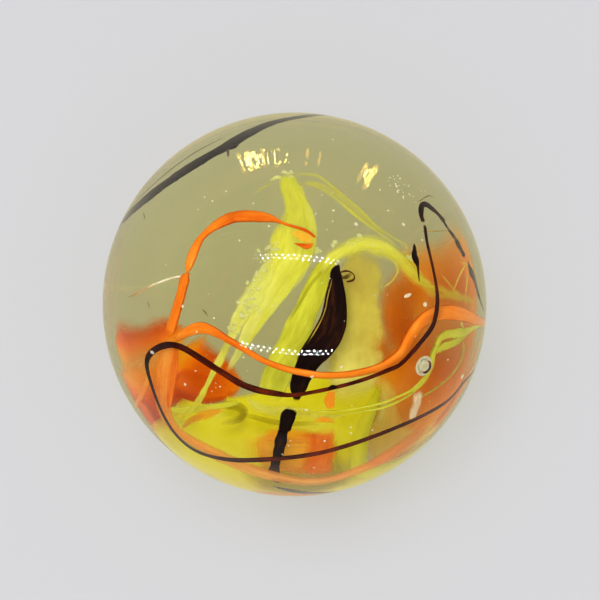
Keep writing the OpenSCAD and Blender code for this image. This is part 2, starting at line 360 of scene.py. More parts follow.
# Coloured glass, drawn out hot: streaks run along it, it is thin and clear at its edges and
# tips, and it tints what shows through it. The codes run from its darkest to its palest places.
def makeDrawnGlass(name, codes, clearTint, cover=1.0, thinning=0.0, softEdge=0.25, ragged=0.0,
                   streakMm=0.05, patchMm=1.0, patchShare=0.35, roughness=0.35, contrast=0.5):
    material, tree = newMaterial(name)
    run = addNode(tree, "Attribute", attribute_name="run").outputs["Vector"]
    edge, veil, tone = [addNode(tree, "Attribute", attribute_name=key).outputs["Fac"]
                        for key in ("edge", "cover", "tone")]
    stretch = addNode(tree, "Mapping", {
        "Vector": run,
        "Scale": (drawnSkin["streaksAlong"] / streakMm, drawnSkin["streaksAcross"] / streakMm, 1),
    })
    streaks = noiseTexture(
        tree, stretch.outputs[0], 1.0, drawnSkin["detail"], drawnSkin["streakRoughness"])
    patches = noiseTexture(tree, run, 1 / patchMm, drawnSkin["detail"])
    blend = mixValues(tree, patchShare, streaks, patches)
    level = calculate(tree, "ADD", remap(tree, blend, noiseSpan, (-contrast / 2, contrast / 2)), tone)
    body = addNode(tree, "BsdfPrincipled", {
        "Base Color": colourRamp(tree, level, (0.0, 0.5, 1.0), codes),
        "Roughness": remap(tree, streaks, noiseSpan,
                           (roughness - drawnSkin["smoother"], roughness + drawnSkin["rougher"])),
        "Specular IOR Level": drawnSkin["gloss"],
        "Normal": bumpNormal(tree, streaks, drawnSkin["bump"], drawnSkin["bumpM"]),
    })
    reach = calculate(tree, "ADD", edge, remap(tree, blend, noiseMiddle, (ragged, 0.0)))
    inner = remap(tree, reach, (1 - softEdge, 1.0), (1.0, 0.0), interpolation_type="SMOOTHSTEP")
    ends = calculate(tree, "MULTIPLY", inner, veil)
    thick = remap(tree, blend, noiseMiddle, (cover - thinning, cover))
    share = calculate(tree, "MULTIPLY", ends, thick, use_clamp=True)
    tint = mixColours(tree, ends, white, hexColour(clearTint))
    finishSurface(tree, share, addNode(tree, "BsdfTransparent", {"Color": tint}), body)
    return material


clearGlass = makeClearGlass()
# Near-black brown glass: reddish where it thins at the edges
darkGlass = makeDrawnGlass(
    "brownBlackGlassDrawn", ("#160402", "#340d05", "#6a2208"), "#fff0e0",
    softEdge=0.14, roughness=0.25, contrast=0.9, streakMm=0.08)
# Smoky violet-brown glass: mottled and half worn away, as it lies close under the skin
smokyGlass = makeDrawnGlass(
    "violetBrownGlassMottled", ("#060304", "#1e1414", "#5e4a42"), "#efe8e0",
    softEdge=0.3, roughness=0.25, contrast=1.0, streakMm=0.1, patchShare=0.5, ragged=0.35)
# Black glass: hides everything, with brown only at its very edge
ribbonGlass = makeDrawnGlass(
    "blackGlassDrawn", ("#080303", "#190a07", "#4a230c"), "#e8d8a8",
    softEdge=0.06, roughness=0.12, contrast=0.7, streakMm=0.12)
# Brown glass in hair-thin threads: half clear
hairGlass = makeDrawnGlass(
    "brownGlassHairFine", ("#2c1606", "#6e4416", "#d0a83c"), "#f0e6c8",
    cover=0.85, thinning=0.3, softEdge=0.5, streakMm=0.1)
# Orange glass: milky and strong in the middle, paler where it is thin
orangeGlass = makeDrawnGlass(
    "orangeGlassDrawn", ("#cc4e08", "#f07e1a", "#ffa640"), "#fff2d0", softEdge=0.28, streakMm=0.09)
# The same, drawn wider and thinner: what lies behind it shows through
paleOrangeGlass = makeDrawnGlass(
    "paleOrangeGlassDrawn", ("#dc6210", "#f88420", "#fcae48"), "#fff2d0",
    cover=0.85, thinning=0.35, softEdge=0.55, streakMm=0.14, contrast=0.7)
# Smeared out to a haze with only its middle dense
softOrangeGlass = makeDrawnGlass(
    "orangeGlassSmeared", ("#e46412", "#ff9226", "#ffb834"), "#fff0c4",
    cover=1.0, thinning=0.2, softEdge=0.5, ragged=0.2, streakMm=0.16)
# Deep orange and rust glass at the far side: the ball magnifies them, so their edges are soft
# and broad patches show in place of streaks
deepOrangeGlass = makeDrawnGlass(
    "deepOrangeGlassSoft", ("#cc4200", "#ff7a04", "#ffae24"), "#ffeebc",
    cover=1.05, thinning=0.3, softEdge=0.8, ragged=0.15, streakMm=0.2, patchShare=0.7)
rustGlass = makeDrawnGlass(
    "rustOrangeGlassSoft", ("#da6408", "#f48c1c", "#fcb848"), "#fff0c0",
    cover=1.0, thinning=0.4, softEdge=0.85, ragged=0.2, streakMm=0.2, patchShare=0.7, contrast=0.6)
# Lemon-yellow glass: thin enough to show its streaks against the light
yellowGlass = makeDrawnGlass(
    "yellowGlassDrawn", ("#b4b428", "#cecc30", "#e6e64c"), "#fbfad0",
    cover=0.97, thinning=0.3, softEdge=0.25, ragged=0.15, streakMm=0.14)
# The same, with a soft frosted skin
frostedYellowGlass = makeDrawnGlass(
    "yellowGlassFrosted", ("#c8c440", "#e4e24a", "#eeee98"), "#fbfad4",
    cover=0.95, thinning=0.3, softEdge=0.4, ragged=0.2, streakMm=0.16, contrast=0.35)
# Smeared out, so that it has no hard edge
archGlass = makeDrawnGlass(
    "yellowGlassSmeared", ("#ccc038", "#e6e24c", "#f0ee88"), "#fbfad4",
    cover=0.85, thinning=0.3, softEdge=0.8, ragged=0.3, streakMm=0.16, contrast=0.45)
# Pulled out to a veil: cloudy and nearly even
veilGlass = makeDrawnGlass(
    "yellowGlassVeil", ("#c0a444", "#d4c450", "#ece474"), "#fbf8d8",
    cover=0.85, thinning=0.25, softEdge=0.42, ragged=0.25, streakMm=0.3, patchMm=1.2, patchShare=0.7,
    contrast=0.35)
# Deep yellow glass at the far side: dense, with an even glow
deepYellowGlass = makeDrawnGlass(
    "deepYellowGlassSoft", ("#dcc820", "#f6ec30", "#fffc80"), "#fff6b0",
    cover=1.0, thinning=0.05, softEdge=0.3, streakMm=0.25, patchShare=0.7, contrast=0.6)
# Tan and olive glass beside it: thin enough to look brownish where two layers lie together
tanGlass = makeDrawnGlass(
    "tanGlassSoft", ("#d8b048", "#fce084", "#fffcb0"), "#fffae4",
    cover=0.85, thinning=0.3, softEdge=0.8, streakMm=0.2)
oliveGlass = makeDrawnGlass(
    "oliveYellowGlassDrawn", ("#a0901c", "#bcae24", "#e8e040"), "#fbf8d8",
    cover=0.75, thinning=0.3, softEdge=0.8, streakMm=0.2, contrast=0.4)
# Cream glass: milky, and brown where it is thin
creamGlass = makeDrawnGlass(
    "creamGlassDrawn", ("#b87838", "#e8cc98", "#fff2d4"), "#f8f0d8",
    cover=0.9, thinning=0.35, softEdge=0.5, ragged=0.2)

seedSkin = {"blend": 0.35, "cloudsPerM": 9000.0, "roughness": 0.25, "gloss": 0.3, "facing": (0.1, 0.75)}


# Seeds: small bubbles of air. Their milky colour, fullest at their rim, is painted light: it stands in for the light
# that a bubble's skin scatters and mirrors.
def makeSeedGlass(name, middle, rim, cover):
    material, tree = newMaterial(name)
    facing = addNode(tree, "LayerWeight", {"Blend": seedSkin["blend"]})
    position = addNode(tree, "NewGeometry").outputs["Position"]
    clouds = noiseTexture(tree, position, seedSkin["cloudsPerM"])
    body = addNode(tree, "BsdfPrincipled", {
        "Base Color": colourRamp(tree, clouds, noiseSpan, (middle, rim)),
        "Roughness": seedSkin["roughness"], "Specular IOR Level": seedSkin["gloss"],
    })
    share = remap(tree, facing.outputs["Facing"], seedSkin["facing"], (cover, 1.0))
    finishSurface(tree, share, addNode(tree, "BsdfTransparent"), body)
    return material


seedGlass = makeSeedGlass("seedBubblesMilky", "#e4d8a0", "#fffbe8", 0.55)
frostGlass = makeSeedGlass("frostBubblesPale", "#dce07c", "#f0f0bc", 0.4)
# The large bubble's pale ring is painted reflection: a pale shell stands in for the light that the bubble's skin
# mirrors at its edge.
paintedBubbleRimGlass = makeSeedGlass("bubbleRimPaintedReflection", "#dcd4a8", "#fffff0", 0.22)
print("materials made")

# The strands. Each piece takes the place of its node, with what goes with it.
pieces = {}
pieces["dark_thread"] = {"material": darkGlass, "slot": "dark_glass", "runs": [
    strand([
        (102, -12, 38), (100, -24, 50), (95, -32, 56), (88, -40, 62), (76, -52, 72), (48, -65, 76),
        (14, -76, 88), (-20, -80, 100), (-40, -79, 96), (-55, -73, 82), (-66, -60, 64), (-74, -40, 68),
        (-75.6, -28, 90), (-68.6, -21.6, 104), (-57.6, -22, 100), (-38, -34, 104), (-25, -41.6, 104),
        (-10, -45.4, 88), (3, -45.8, 66), (30, -40, 60), (48, -33.6, 66), (56, -29, 76), (69, -14, 74),
        (72.4, -6, 80), (73.4, 4, 72), (71.4, 17, 48), (68.2, 31, 52), (67, 40, 56),
    ], 0.28, 0.22, "threads", waver=0.08,
        tone=(0.3, 0.2, 0.6, 0.7, 0.4, 0.1, 0.2, 0.7, 0.8, 0.6, 0.5, 0.3), fadeMm=(0.2, 0.1)),
    strand([
        (66.2, 43, 66), (65, 46.6, 84), (65.6, 50.6, 112), (67.8, 51.4, 104), (71, 49.4, 92),
        (74, 46.6, 84), (77, 43, 80),
    ], 0.28, 0.22, "threads", waver=0.25, tone=(0.1, 0.0, 0.3), fadeMm=(0.1, 0.1)),
    strand([(17.4, -42.8, 50), (19.4, -42.3, 150), (21.4, -41.9, 60)],
           0.16, 0.12, "threads", lift=0.08, tone=0.3, fadeMm=(0.02, 0.02)),
]}
pieces["dark_top_band"] = {"material": smokyGlass, "slot": "dark_glass", "runs": [
    strand([
        (-104, 18, 20), (-98, 32, 45), (-87, 45.5, 70), (-73, 57.5, 85), (-54, 70.5, 85),
        (-37, 80.5, 80), (-31, 84, 95), (-14, 93, 65), (8, 98, 50), (27, 98, 35), (44, 94, 15),
    ], 1.0, 0.24, "threads", waver=0.06, tone=(0.6, 0.5, 0.3, 0.2, 0.1, 0.1, 0.5), cover=1.3),
    strand([(-38, 80, 40), (-35, 81.5, 110), (-32, 81.5, 120), (-29, 83.5, 50)],
           0.42, 0.24, "threads", waver=0.3, tone=0.0, lift=-0.02, cover=1.4),
    # A short pale stroke across the band: painted highlight, where the band catches a glint.
    strand([(-34.5, 80.5, 100), (-34, 77.5, 60), (-34, 75.5, 20)],
           0.2, 0.16, "threads", waver=0.1, tone=1.1),
]}
pieces["dark_bottom_trace"] = {"material": smokyGlass, "slot": "dark_glass", "runs": [
    strand([(-11, -94, 20), (-4, -96, 70), (6, -97.6, 95), (18, -97.6, 60), (29, -96, 15)],
           0.5, 0.24, "threads", waver=0.25, tone=(0.9, 0.6, 0.9), cover=1.2),
]}
pieces["dark_centre_ribbon"] = {"material": ribbonGlass, "slot": "dark_glass", "runs": [
    strand([
        (22.4, 19.6, 16), (21.2, 16.6, 42), (21.4, 12, 56), (21.8, 6, 68), (21.6, 0, 80),
        (21.0, -6, 93), (19.5, -11.5, 104), (16.8, -17, 112), (12.9, -22, 110), (9, -27, 98),
        (5.8, -32, 84), (3.3, -38, 74), (2, -43, 64), (1.2, -48, 28),
    ], 1.0, 0.4, "bubbles", waver=0.04, tone=(0.3, 0.5, 0.5, 0.3, 0.5), fadeMm=(0.1, 0.1)),
    strand([
        (23, 16, 60), (25.6, 17, 100), (28.6, 16.6, 90), (30.6, 14.6, 80), (30, 12.4, 90),
        (27, 11.6, 60),
    ], 0.08, 0.08, "bubbles", lift=0.1, tone=1.0, waver=0.4, fadeMm=(0.1, 0.1)),
    strand([(23, 14, 60), (26, 13.6, 100), (29, 15.4, 80)],
           0.1, 0.08, "bubbles", lift=0.04, tone=0.9, waver=0.5, cover=0.7),
]}
pieces["dark_lower_ribbon"] = {"material": ribbonGlass, "slot": "dark_glass", "runs": [
    strand([(-1.5, -55, 80), (-3, -57, 105), (-4.2, -60.5, 96), (-5, -63.6, 92)],
           0.52, 0.4, "bubbles", waver=0.12, tone=0.4, fadeMm=(0.05, 0.05)),
    strand([
        (-6, -65.4, 88), (-7, -71, 82), (-9, -79, 72), (-10.4, -84, 84), (-10.6, -88, 92),
        (-8.6, -91, 70),
    ], 0.52, 0.4, "bubbles", waver=0.12, tone=(0.3, 0.5, 0.9), fadeMm=(0.05, 0.1)),
    strand([(-8.5, -90.5, 60), (-5, -91.5, 80), (-1, -92, 30)], 0.16, 0.16, "bubbles", tone=0.8),
]}
pieces["dark_fleck"] = {"material": ribbonGlass, "slot": "dark_glass", "runs": [
    strand([
        (61.6, 31, 10), (61.8, 28, 60), (61.6, 25, 112), (62.4, 22.6, 112), (63.2, 19.6, 40),
        (63.6, 15, 20), (64, 12, 10),
    ], 0.32, 0.24, "bubbles", waver=0.2, tone=(0.5, 0.4, 1.0), fadeMm=(0.05, 0.2)),
]}
pieces["orange_hook_ribbon"] = {"material": orangeGlass, "slot": "orange_glass", "runs": [
    strand([
        (10.4, 34.6, 18), (6.5, 37.4, 24), (2, 39.2, 24), (-3, 40.6, 20), (-7, 42, 24),
        (-11, 43.6, 55), (-17, 44.6, 90), (-24, 45.2, 100), (-31, 44.6, 100), (-37, 42.2, 90),
        (-43, 38.4, 66), (-47.5, 34.2, 58), (-50.5, 29, 74), (-52.5, 24, 84), (-54, 19.5, 66),
        (-54.6, 17.3, 30),
    ], 0.55, 0.36, "orange", waver=0.05, tone=(0.0, 0.1, 0.25, 0.3, 0.25, 0.15, 0.4, 0.4, 0.6, 0.6),
        fadeMm=(0.1, 0.05)),
    strand([
        (-54.6, 15.6, 30), (-56, 13, 84), (-57.5, 7, 84), (-59.5, 0, 86), (-61.5, -7, 90),
        (-64, -15, 90),
    ], 0.55, 0.36, "orange", waver=0.04, tone=(0.3, 0.4, 0.5), fadeMm=(0.05, 0.3)),
    strand([(0, 31.2, 12), (3, 30.4, 70), (6, 29.6, 120), (8, 30, 90), (9.3, 31, 30)],
           0.22, 0.14, "orange", tone=0.15, fadeMm=(0.2, 0.1), lift=0.02),
]}
pieces["orange_front_ribbon"] = {"material": orangeGlass, "slot": "orange_glass", "runs": [
    strand([
        (-61, -18, 60), (-54.6, -14, 88), (-48, -12, 104), (-42, -13.4, 84), (-34, -18, 62),
        (-26, -22.6, 56), (-17, -28, 50), (-7, -32, 54), (3, -34.5, 58), (16, -36.2, 60),
        (30, -35.4, 66), (44, -32, 78), (54, -25.5, 104), (59, -17, 118), (64, -10, 126),
        (70.5, -5.4, 128), (79, -4.2, 126), (87, -5.4, 112), (94, -8, 86), (102, -11, 40),
    ], 0.5, 0.36, "orange", waver=0.04,
        tone=(0.5, 0.5, 0.3, 0.4, 0.45, 0.5, 0.5, 0.5, 0.55, 0.65, 0.7, 0.8, 1.0),
        cover=(1, 1, 1, 1, 1, 1, 0.9, 0.5)),
]}
pieces["orange_lower_ribbon"] = {"material": paleOrangeGlass, "slot": "orange_glass", "runs": [
    strand([
        (-61.4, -17, 50), (-64.4, -24, 125), (-66.6, -33, 150), (-67.6, -42, 132), (-67.6, -52, 118),
        (-64.5, -60.5, 110), (-58, -67.5, 115), (-48, -73.5, 125), (-38, -78.5, 130), (-28, -83, 128),
        (-18, -86.6, 120), (-6, -89.8, 105), (7, -91.4, 90), (20, -90, 90), (35, -85, 115),
        (48, -78.6, 160), (60, -70.6, 180), (68, -62, 110),
    ], 0.8, 0.36, "orange", waver=0.06, tone=(0.6, 0.7, 0.6, 0.6, 0.8, 1.0, 1.0, 0.7, 0.3, 0.0),
        cover=(0.6, 0.7, 0.75, 0.85, 0.9, 0.9, 0.9, 0.75, 0.4)),
    strand([
        (-60.4, -19, 60), (-60.6, -27, 100), (-61.8, -36, 105), (-63.4, -46, 90), (-64.5, -54, 50),
    ], 0.34, 0.12, "orange", lift=0.15, tone=0.35, waver=0.12),
    strand([(-12, -90, 40), (0, -92.8, 90), (14, -92.8, 90), (28, -89, 50)],
           0.06, 0.05, "orange", lift=0.2, tone=1.2),
    strand([(-9, -80.2, 40), (-2, -80.4, 100), (6, -79.6, 40)],
           0.05, 0.04, "orange", lift=0.2, tone=1.2, cover=0.7),
]}
pieces["orange_hair_line"] = {"material": creamGlass, "slot": "orange_glass", "runs": [
    strand([
        (-85.6, 3.6, 40), (-79.6, 6.4, 90), (-71.6, 10.4, 100), (-62.6, 13.6, 110), (-55.4, 14.6, 80),
    ], 0.1, 0.1, "orange", tone=(0.0, 0.1, 0.3, 0.9, 1.0, 0.8), waver=0.15),
]}
pieces["orange_left_lobe"] = {"material": deepOrangeGlass, "slot": "orange_glass", "runs": [
    strand([
        (-84, -28, 60), (-74, -30, 112), (-62, -34, 104), (-50, -38, 84), (-41, -42.6, 58),
        (-33, -46.6, 32),
    ], 1.05, 0.36, "orange", far, sides=28, cover=(0.9, 1.2, 1.4, 1.7, 1.8, 1.7, 1.3),
        tone=(1.0, 0.9, 0.3, 0.15, 0.25, 0.5), fadeMm=(0.4, 0.1)),
    strand([(-78, -10, 50), (-81, -16, 90), (-83, -23, 100), (-84, -30, 70)],
           0.6, 0.2, "orange", far, sides=24, lift=-0.1, cover=1.0, tone=(0.1, 0.3, 0.8, 1.1),
           fadeMm=(0.2, 0.2)),
    strand([(-65, -42, 80), (-58, -45, 110), (-48, -47.6, 110), (-38, -49, 60)],
           0.5, 0.16, "bubbles", far, sides=24, cover=1.6, tone=(0.25, 0.2, 0.35, 0.5),
           fadeMm=(0.1, 0.1)),
]}
pieces["orange_middle_lobe"] = {"material": rustGlass, "slot": "orange_glass", "runs": [
    strand([(57, 17, 50), (57, 8, 92), (56, -4, 98), (57, -15, 85), (60, -25, 40)],
           1.0, 0.34, "yellowInner", far, sides=28, tone=(0.4, 0.2, 0.0, 0.1), fadeMm=(0.4, 0.3)),
]}
pieces["orange_right_lobe"] = {"material": rustGlass, "slot": "orange_glass", "runs": [
    strand([
        (62, 31, 40), (69, 25, 62), (77, 15, 66), (82, 4, 66), (83, -9, 70), (81, -25, 92),
        (75, -40, 106), (65, -56, 116), (56.6, -68, 108), (49, -78, 84),
    ], 1.0, 0.36, "orange", far, sides=28, tone=(0.9, 0.5, 0.3, 0.6, 0.4, 0.3, 0.5, 0.8, 0.9),
        cover=(0.5, 0.9, 1.0, 0.8, 0.95, 1.2, 1.2, 1.2, 1.0), fadeMm=(0.3, 0.2)),
    strand([
        (96, -14, 50), (94, -26, 80), (88, -40, 100), (79, -54, 100), (68, -67, 100), (56, -77, 80),
        (44, -85, 50),
    ], 0.7, 0.2, "orange", far, sides=24, lift=-0.1, tone=(0.8, 0.6, 0.4, 0.5, 0.8),
        cover=(0.5, 0.9, 1.1, 1.1, 0.9, 0.6), fadeMm=(0.4, 0.4)),
]}
pieces["orange_bottom_lobe"] = {"material": deepOrangeGlass, "slot": "orange_glass", "runs": [
    strand([(-14, -75, 65), (-5, -76.5, 90), (5, -78, 90), (13, -77, 65)],
           0.95, 0.34, "yellowInner", far, sides=28, tone=(1.0, 1.1, 1.0, 0.3), cover=1.6,
           fadeMm=(0.12, 0.15)),
]}
pieces["orange_wisps"] = {"material": softOrangeGlass, "slot": "orange_glass", "runs": [
    strand([(-2, 36.8, 30), (2, 36.2, 80), (5.6, 34.6, 110), (9, 33, 80)],
           0.6, 0.1, "orange", cover=0.42, tone=1.2, fadeMm=(0.4, 0.2)),
    strand([(-58, -64, 30), (-52, -59, 90), (-44, -56, 100), (-36, -54, 50)],
           0.42, 0.14, "bubbles", tone=0.1, cover=0.35, waver=0.15),
    strand([(-83, -54, 25), (-79, -47, 80), (-76, -40, 90), (-73, -33, 40)],
           0.42, 0.14, "bubbles", tone=0.6, cover=0.8, waver=0.15),
    strand([(19, -45, 80), (18, -49, 110), (19, -53, 70)],
           0.5, 0.14, "bubbles", tone=0.4, cover=0.7, fadeMm=(0.1, 0.2)),
    strand([(10, -60, 50), (15, -59, 90), (21, -60, 60)], 0.4, 0.14, "bubbles", tone=0.4, cover=0.5),
    strand([(15.6, -66, 90), (15, -76, 100), (13, -88, 90)],
           1.3, 0.16, "bubbles", tone=(0.1, 0.2, 0.5), cover=0.8, waver=0.1, fadeMm=(0.3, 0.5)),
    strand([(-20, -76.4, 85), (-13, -77, 100), (-4, -77.6, 105), (7, -78, 95)],
           2.7, 0.16, "yellow", tone=(1.0, 1.2, 1.0), cover=1.1, fadeMm=(0.5, 0.3), sides=24),
]}
pieces["yellow_streamer"] = {"material": frostedYellowGlass, "slot": "yellow_glass", "runs": [
    strand([
        (-3, 66, 40), (-2.5, 61.6, 50), (0.6, 53, 58), (1.4, 46, 74), (0.4, 38, 98), (-0.6, 30, 112),
        (-2.6, 22, 106), (-6.2, 14.5, 90), (-11, 7, 72), (-16.5, -0.5, 52), (-20.5, -8, 40),
        (-25, -17, 30), (-29, -26, 20), (-33.5, -34, 13),
    ], 1.8, 0.3, "yellow", sides=24, waver=0.08, lean=-0.35,
        cover=(0.8, 0.9, 1, 1, 0.95, 0.95, 0.9, 0.7), tone=(0.2, 0.35, 0.45, 0.6, 0.75, 0.75),
        fadeMm=(0.25, 0.6)),
    strand([
        (0, 61, 60), (4, 54, 90), (7.6, 46, 110), (8.8, 38, 130), (8, 30, 150), (5, 22, 150),
        (-0.6, 13, 130), (-7, 4, 110), (-14, -5, 90), (-20, -14, 70), (-25, -23, 40),
    ], 0.4, 0.14, "yellow", lift=0.1, waver=0.15, tone=0.55, cover=(0.5, 0.6, 0.6, 0.6, 0.6)),
    strand([
        (-9, 28, 60), (-14, 17, 140), (-20, 6, 170), (-26, -4, 150), (-31, -14, 110), (-36, -25, 70),
        (-42, -37, 55), (-47, -46, 60), (-53, -54, 60), (-58, -58, 30),
    ], 0.5, 0.16, "yellow", lift=0.1, waver=0.25, tone=(0.8, 0.7, 0.5, 0.4),
        cover=(0.4, 0.6, 0.7, 0.8, 0.9, 0.9, 0.9)),
    strand([(-6, 65, 40), (-9, 65.4, 100), (-12, 63.6, 60)],
           0.24, 0.1, "yellow", lift=0.1, tone=1.2, waver=0.4),
    strand([(-10, 63, 30), (-16, 60, 70), (-21, 56, 20)],
           0.12, 0.08, "yellow", lift=0.1, tone=0.1, cover=0.5),
]}
pieces["yellow_centre_band"] = {"material": yellowGlass, "slot": "yellow_glass", "runs": [
    strand([
        (20.5, 24, 34), (15, 18, 62), (11.6, 10, 78), (8.4, 2, 90), (4.5, -7.4, 100), (0, -18, 106),
        (-5.3, -28.4, 108), (-9.5, -37.4, 106), (-12.6, -46.3, 95),
    ], 1.15, 0.34, "yellowInner", sides=24, waver=0.05, tone=(0.6, 0.6, 0.7, 0.7, 0.6),
        fadeMm=(0.3, 0.5)),
    strand([(16, 19, 60), (9, 11, 100), (4, 3, 90), (-1, -6, 70)],
           0.14, 0.1, "yellowInner", lift=0.18, tone=0.2, cover=0.6),
]}
pieces["yellow_arch"] = {"material": archGlass, "slot": "yellow_glass", "runs": [
    strand([
        (14, 17, 60), (19.6, 24, 100), (27, 28.6, 125), (34, 30.4, 140), (42, 30, 150), (49, 27, 145),
        (55.6, 21.6, 120), (61, 15.6, 100), (68, 10.6, 70), (76, 7, 40),
    ], 0.76, 0.34, "yellow", waver=0.12, tone=(0.5, 0.5, 0.5, 0.4, 0.3, 0.3),
        cover=(0.8, 0.85, 0.85, 0.85, 0.8, 0.65, 0.5)),
    strand([(42, 27, 40), (49, 24, 90), (53, 18, 100), (50, 12, 60), (44, 8, 30)],
           0.14, 0.1, "yellow", lift=-0.1, tone=0.6, cover=0.5),
    strand([(56, 27, 60), (61.4, 19, 130), (66, 11, 150), (73, 5, 110), (80, 4, 50)],
           0.5, 0.14, "yellow", lift=-0.1, tone=0.3, cover=0.5, waver=0.15),
]}
pieces["yellow_veil"] = {"material": veilGlass, "slot": "yellow_glass", "runs": [
    strand([
        (38, 27, 50), (35.4, 18, 98), (33.2, 8, 114), (31.8, -2, 118), (31, -12, 122),
        (30.6, -22, 128), (31, -32, 130), (31, -40, 116), (31, -47, 80),
    ], 2.15, 0.34, "yellowInner", sides=32, waver=0.06, cover=(0.5, 0.75, 1.0, 1.1, 1.2, 1.2, 1.0),
        tone=(0.4, 0.3, 0.4, 0.6, 0.8, 0.8), fadeMm=(0.5, 0.6)),
]}
pieces["yellow_upper_strands"] = {"material": archGlass, "slot": "yellow_glass", "runs": [
    strand([
        (0, 66.5, 60), (6, 67, 100), (12, 66, 100), (18, 62, 100), (26, 55, 100), (34, 48.4, 100),
        (41, 41, 90), (48, 36, 80), (55, 31.8, 80), (57.4, 30, 60), (57, 26, 40),
    ], 0.16, 0.14, "yellowInner", waver=0.2, cover=0.5, tone=(0.6, 0.3, 0.3, 0.6)),
    strand([
        (3, 62, 50), (10, 61, 90), (16.6, 57.6, 100), (23.4, 52.4, 100), (31, 46, 100), (38.6, 40, 90),
        (45, 35.4, 70), (51, 31.4, 60), (52, 27, 30),
    ], 0.14, 0.12, "yellowInner", waver=0.2, cover=0.5, tone=(0.5, 0.3, 0.3, 0.6)),
    strand([(4, 63, 50), (18, 59.4, 110), (33, 46.6, 110), (46, 36, 50)],
           0.5, 0.1, "yellowInner", lift=-0.1, cover=0.32, tone=0.3, waver=0.15),
]}
pieces["yellow_knotted_strand"] = {"material": yellowGlass, "slot": "yellow_glass", "runs": [
    strand([
        (104, -9, 15), (97, -10.6, 28), (92, -12.4, 50), (87.5, -14.2, 92), (82.5, -14.8, 104),
        (78, -15.6, 96), (74.6, -18, 84), (72.2, -24, 60),
    ], 0.38, 0.24, "yellow", waver=0.1, tone=0.9, fadeMm=(0.4, 0.05)),
    strand([(89, -14.5, 50), (84.6, -18.2, 96), (80, -20.6, 100), (76, -22, 80), (72.6, -24.5, 60)],
           0.38, 0.24, "yellow", waver=0.12, tone=0.8, fadeMm=(0.1, 0.05), lift=-0.02),
    strand([
        (72.5, -22, 60), (71.2, -26, 84), (70.5, -30.5, 92), (68.5, -36, 76), (65, -41, 60),
        (60, -45, 50),
    ], 0.36, 0.24, "yellow", waver=0.12, tone=0.8, fadeMm=(0.05, 0.2)),
    strand([
        (68, -36, 70), (61, -43.4, 90), (53, -47.5, 90), (45, -50.6, 100), (36, -52.6, 70),
        (24, -54.4, 60), (11, -54.6, 40),
    ], 0.12, 0.12, "yellow", lift=0.06, tone=0.9, waver=0.2),
    strand([
        (67, -38.5, 70), (60.5, -45.6, 100), (53, -50, 100), (45, -53, 100), (36, -54.6, 60),
        (24, -56.4, 50), (11, -56.8, 40),
    ], 0.12, 0.12, "yellow", lift=-0.08, tone=0.8, waver=0.2),
    strand([(71, -26, 60), (74.5, -24, 50), (76, -25.5, 30)],
           0.08, 0.08, "yellow", lift=0.08, tone=0.8),
    strand([(87, -14, 80), (86.8, -10.6, 70), (85.6, -9, 30)],
           0.16, 0.1, "yellow", lift=0.05, tone=0.9, waver=0.3),
]}
pieces["yellow_fine_loop"] = {"material": yellowGlass, "slot": "yellow_glass", "runs": [
    strand([
        (87, -17, 50), (87.4, -24, 90), (85.6, -30, 100), (81, -36.4, 100), (75.4, -41.4, 100),
        (69.4, -45.4, 90), (62.4, -49, 60),
    ], 0.11, 0.11, "yellow", lift=-0.08, tone=0.1, cover=0.7, waver=0.15),
]}
pieces["yellow_pool"] = {"material": deepYellowGlass, "slot": "yellow_glass", "runs": [
    strand([
        (-69, -58, 20), (-60, -67, 50), (-46, -74, 90), (-25, -70, 94), (-2, -65.5, 100),
        (15, -62.6, 108), (27, -62.8, 112), (37.4, -68, 112),
    ], 1.5, 0.34, "yellow", far, sides=28, waver=0.04, tone=(0.3, 0.5, 0.6, 0.6, 0.5, 0.5, 0.5),
        cover=(1.0, 1.3, 1.5, 1.6, 1.6, 1.6), lean=-0.5, fadeMm=(0.3, 0.05), blunt=True),
]}
pieces["yellow_pale_line"] = {"material": yellowGlass, "slot": "yellow_glass", "runs": [
    strand([(-66, -54, 50), (-55, -54.2, 100), (-42, -53, 100), (-28, -50, 50)],
           0.3, 0.14, "yellowInner", tone=1.2, cover=0.8, waver=0.15),
]}
pieces["tan_patch"] = {"material": tanGlass, "slot": "yellow_glass", "runs": [
    strand([(50, -44, 50), (49.4, -51, 58), (47.5, -62, 90), (46, -70, 104), (43, -80, 84)],
           0.66, 0.3, "bubbles", far, sides=24, tone=0.3, cover=1.0, fadeMm=(0.15, 0.1)),
    strand([(44.6, -47, 70), (45, -58, 100), (44.4, -68, 90), (42.6, -78, 50)],
           0.18, 0.1, "bubbles", far, tone=0.0, cover=0.8, lift=-0.12, sides=20),
    strand([(49.4, -47, 70), (49.8, -58, 100), (49, -69, 90), (46.6, -79, 50)],
           0.1, 0.08, "bubbles", far, tone=1.2, cover=0.7, lift=-0.14, sides=20),
]}
pieces["cream_smear"] = {"material": creamGlass, "slot": "cream_glass", "runs": [
    strand([(63.6, -46, 80), (63, -50, 112), (62, -54, 96), (60.8, -59, 60)],
           0.62, 0.2, "bubbles", tone=0.7, cover=0.85, waver=0.2, fadeMm=(0.15, 0.2)),
]}
